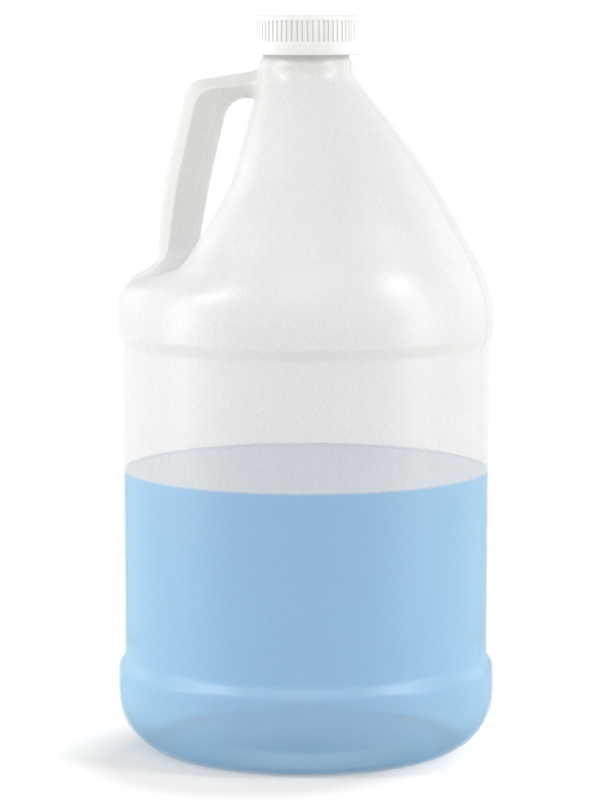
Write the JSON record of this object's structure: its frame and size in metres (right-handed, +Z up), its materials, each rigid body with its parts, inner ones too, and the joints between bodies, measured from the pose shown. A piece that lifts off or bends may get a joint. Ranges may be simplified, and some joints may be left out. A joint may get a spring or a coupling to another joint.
{
  "type": "gallon jug",
  "caption": "Round translucent blown jug with a hollow handle in its shoulder, a ribbed screw cap with a foam liner, and liquid in its lower half.",
  "frame": {"origin": "on the jug's axis, in the plane that the standing ring rests on", "axes": "+Z up along the jug's axis, -X towards the handle, Y across the parting plane"},
  "size_m": [0.1572, 0.1572, 0.3024],
  "materials": {
    "jug_plastic": "natural milky polyethylene, translucent, with a soft waxy sheen",
    "cap_plastic": "moulded white polypropylene, satin",
    "liner_foam": "white closed-cell polyethylene foam",
    "liquid": "clear light blue water-thin liquid"
  },
  "bodies": {
    "jug_body": {"jug": "jug_plastic", "liquid": "liquid"},
    "liner_body": {"cap_liner": "liner_foam"},
    "cap_body": {"cap": "cap_plastic"}
  },
  "joints": [
    {"name": "cap_lift", "type": "slide", "parent": "jug_body", "child": "liner_body", "axis": [0, 0, 1], "range_m": [0, 0.018]},
    {"name": "cap_turn", "type": "hinge", "parent": "liner_body", "child": "cap_body", "pos_m": [0, 0, 0.295], "axis": [0, 0, 1], "range_deg": [0, 1440]}
  ],
  "couplings": [
    {"joint": "cap_lift", "follows": "cap_turn", "m_per_rad": 0.0006737}
  ]
}
